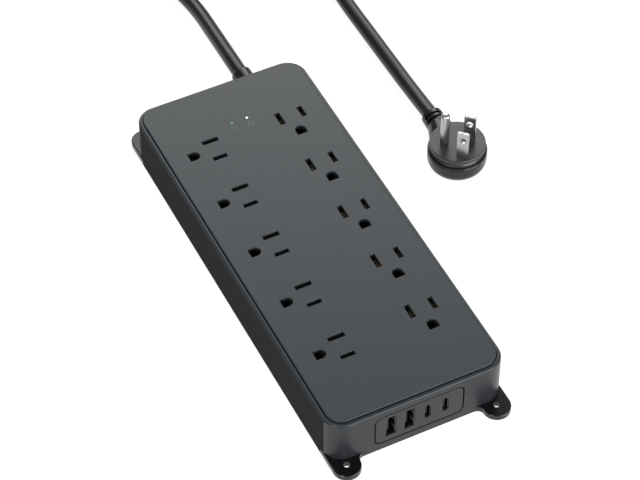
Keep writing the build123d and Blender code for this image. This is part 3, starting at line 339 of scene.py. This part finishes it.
def dress_housing():
    """Painted light on the housing: the rim's top round the plate gets the plate's finish as a
    painted sheen, and the long side walls get a darker matt copy of the same plastic as painted
    shade.
    """
    shell = NODES["upper_housing"].data
    shell.materials.append(PLATE)
    shell.materials.append(SHADED_SIDE)
    for face in shell.polygons:
        # painted sheen: up-facing faces of the rim take the plate's brighter look
        if face.normal.z > RIM_TOP_SLOPE and face.center.z > RIM_LOW_Z * MM:
            face.material_index = RIM_SHEEN_LOOK
        # painted shade: the long side walls take the darker matt copy of the plastic
        elif abs(face.normal.x) > SHADED_WALL_SLOPE:
            face.material_index = SHADED_WALL_LOOK


dress_housing()

# ---------------------------------------------------------------- printed marks and port springs
PLATE_TOP_Z = 30.0
MARK_T = 0.02
GROUND_MARK_AT = (-4.7, 84.1)
POWER_MARK_AT = (4.7, 83.4)
MARK_R = 1.7
MARK_LINE = 0.28
WELD = 0.001


def ring_faces(shape, centre, radius, width, start, end, steps=40):
    """Flat faces along an arc, given in degrees from +X."""
    rows = []
    for step in range(steps + 1):
        angle = radians(start + (end - start) * step / steps)
        row = []
        for r in (radius - width / 2, radius + width / 2):
            place = (centre[0] + r * cos(angle), centre[1] + r * sin(angle), 0)
            row.append(shape.verts.new(place))
        rows.append(row)
    for (a, b), (c, d) in zip(rows, rows[1:]):
        shape.faces.new((a, b, d, c))


def bar_face(shape, centre, wide, high):
    """A flat rectangle."""
    corners = [(-1, -1), (1, -1), (1, 1), (-1, 1)]
    places = [(centre[0] + x * wide / 2, centre[1] + y * high / 2, 0) for x, y in corners]
    shape.faces.new([shape.verts.new(place) for place in places])


def thicken(shape, depth):
    """Lifted copies of the flat faces, and walls along their outer edges."""
    flat_faces = shape.faces[:]
    outer_edges = [edge for edge in shape.edges if edge.is_boundary]
    lift = Vector((0, 0, depth))
    lifted = {vert: shape.verts.new(vert.co + lift) for vert in shape.verts[:]}
    for face in flat_faces:
        shape.faces.new([lifted[vert] for vert in face.verts])
    for edge in outer_edges:
        first, second = edge.verts
        shape.faces.new((first, second, lifted[second], lifted[first]))


def printed_mark(name, at, draw, material):
    """A flat mark printed on the plate, a few hundredths of a millimetre thick."""
    shape = bmesh.new()
    draw(shape)
    bmesh.ops.remove_doubles(shape, verts=shape.verts[:], dist=WELD)
    thicken(shape, MARK_T)
    bmesh.ops.recalc_face_normals(shape, faces=shape.faces[:])
    bmesh.ops.transform(shape, matrix=Matrix.Scale(MM, 4), verts=shape.verts[:])
    mesh = bpy.data.meshes.new(name)
    shape.to_mesh(mesh)
    shape.free()
    piece = bpy.data.objects.new(name, mesh)
    piece.location = (at[0] * MM, at[1] * MM, PLATE_TOP_Z * MM)
    scene.collection.objects.link(piece)
    mesh.materials.append(material)
    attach(piece, "strip")


PORT_XS = (-16.0, -5.9)
PORT_WALL = 2.45
PORT_MIDDLE_Z = 15.6
SPRING_Z_OFF = 3.2
SPRING_W = 2.0
SPRING_T = 0.2
SPRING_FRONT_Y = -117.0
SPRING_L = 6.5
SPRING_BULGE = 0.45


def spring_leaf(shape, side, wall_x, middle_z, steps=14):
    """One leaf that bows out from the wall of a port and back to it."""
    rows = []
    for step in range(steps + 1):
        along = step / steps
        bow = SPRING_BULGE * sin(pi * along) ** 2
        row = []
        for z in (middle_z - SPRING_W / 2, middle_z + SPRING_W / 2):
            for depth in (bow - SPRING_T / 2, bow + SPRING_T / 2):
                x = wall_x - side * depth
                row.append(shape.verts.new((x, SPRING_FRONT_Y + SPRING_L * along, z)))
        rows.append(row)
    for a, b in zip(rows, rows[1:]):
        for first, second in ((0, 1), (1, 3), (3, 2), (2, 0)):
            shape.faces.new((a[first], a[second], b[second], b[first]))
    for end in (rows[0], rows[-1]):
        shape.faces.new((end[0], end[1], end[3], end[2]))


def port_springs(name, port_x):
    """The four leaves that grip a plug in a USB-A port."""
    shape = bmesh.new()
    for side in (-1, 1):
        for up in (-1, 1):
            wall_x = port_x + side * PORT_WALL
            spring_leaf(shape, side, wall_x, PORT_MIDDLE_Z + up * SPRING_Z_OFF)
    bmesh.ops.recalc_face_normals(shape, faces=shape.faces[:])
    bmesh.ops.transform(shape, matrix=Matrix.Scale(MM, 4), verts=shape.verts[:])
    mesh = bpy.data.meshes.new(name)
    shape.to_mesh(mesh)
    shape.free()
    piece = bpy.data.objects.new(name, mesh)
    scene.collection.objects.link(piece)
    mesh.materials.append(STEEL)
    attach(piece, "strip")


for number, port_x in enumerate(PORT_XS, start=1):
    port_springs(f"usb_a_springs_{number}", port_x)


STEM_Y = 0.62
STEM_H = 0.8
FIRST_BAR_Y = 0.1
BAR_PITCH = 0.45
LONGEST_BAR = 1.7
BAR_SHORTER = 0.55
BAR_H = 0.22
GAP_START = 55
GAP_END = 125
ON_RING_R = MARK_R - 0.2
ON_RING_Y = -0.1
ON_STEM_Y = 1.05
ON_STEM_H = 1.5


def ground_sign(shape):
    """The usual earth sign in a ring: a stem over three bars that get shorter."""
    ring_faces(shape, (0, 0), MARK_R, MARK_LINE, 0, 360)
    bar_face(shape, (0, STEM_Y), MARK_LINE, STEM_H)
    for step in range(3):
        wide = LONGEST_BAR - BAR_SHORTER * step
        bar_face(shape, (0, FIRST_BAR_Y - BAR_PITCH * step), wide, BAR_H)


def power_sign(shape):
    """The usual on-off sign: a ring open at the top, with a stem in the gap."""
    ring_faces(shape, (0, ON_RING_Y), ON_RING_R, MARK_LINE, GAP_END, GAP_START + 360)
    bar_face(shape, (0, ON_STEM_Y), MARK_LINE, ON_STEM_H)


MARK_GREEN = moulded("mark_green_ink", (0.085, 0.135, 0.115), 0.5)
MARK_GREY = moulded("mark_grey_ink", (0.17, 0.18, 0.185), 0.5)
printed_mark("ground_mark", GROUND_MARK_AT, ground_sign, MARK_GREEN)
printed_mark("power_mark", POWER_MARK_AT, power_sign, MARK_GREY)

# ---------------------------------------------------------------- studio
def area_light(name, at, aim, size, power):
    light = bpy.data.lights.new(name, "AREA")
    light.shape = "RECTANGLE"
    light.size, light.size_y = size
    light.energy = power
    piece = bpy.data.objects.new(name, light)
    piece.location = at
    piece.rotation_euler = (Vector(aim) - Vector(at)).to_track_quat("-Z", "Y").to_euler()
    scene.collection.objects.link(piece)


SKY_COLOUR = (0.93, 0.96, 1.0, 1.0)
SKY_STRENGTH = 0.34
FLOOR_SIZE = 8.0
FLOOR_GAP = 0.0002
FLOOR_GREY = (0.35, 0.35, 0.35, 1.0)
FLOOR_ROUGH = 0.9
FLOOR_SHINE = 0.1
FLOOR_LIGHT = (1.0, 1.0, 1.0, 1.0)
FLOOR_GLOW = 0.88


def make_studio():
    """White floor, dim pale sky, and soft boxes behind, left and in front."""
    world = bpy.data.worlds.new("studio")
    world.use_nodes = True
    sky = world.node_tree.nodes["Background"]
    sky.inputs["Color"].default_value = SKY_COLOUR
    sky.inputs["Strength"].default_value = SKY_STRENGTH
    scene.world = world
    floor_z = cad_box[0].z - FLOOR_GAP
    bpy.ops.mesh.primitive_plane_add(size=FLOOR_SIZE, location=(0, 0, floor_z))
    floor = bpy.context.object
    floor.name = "floor"
    paint, tree, shader = shader_of("floor_paint")
    shader.inputs["Base Color"].default_value = FLOOR_GREY
    shader.inputs["Roughness"].default_value = FLOOR_ROUGH
    shader.inputs["Specular IOR Level"].default_value = FLOOR_SHINE
    shader.inputs["Emission Color"].default_value = FLOOR_LIGHT
    shader.inputs["Emission Strength"].default_value = FLOOR_GLOW
    floor.data.materials.append(paint)
    area_light("rear_box", at=(0.55, 1.25, 0.95), aim=(0, 0.1, 0), size=(1.5, 0.6), power=14)
    area_light(
        "corner_strip",
        at=(-0.85, -0.75, 0.16), aim=(-0.05, -0.11, 0.02), size=(0.16, 0.4), power=6.0,
    )
    area_light("edge_strip", at=(-1.0, -0.6, 0.95), aim=(0, 0, 0), size=(0.10, 0.5), power=2.5)
    area_light("front_box", at=(0.6, -1.5, 0.3), aim=(0, -0.1, 0), size=(1.4, 0.5), power=34)
    scene.view_settings.view_transform = "Standard"


make_studio()
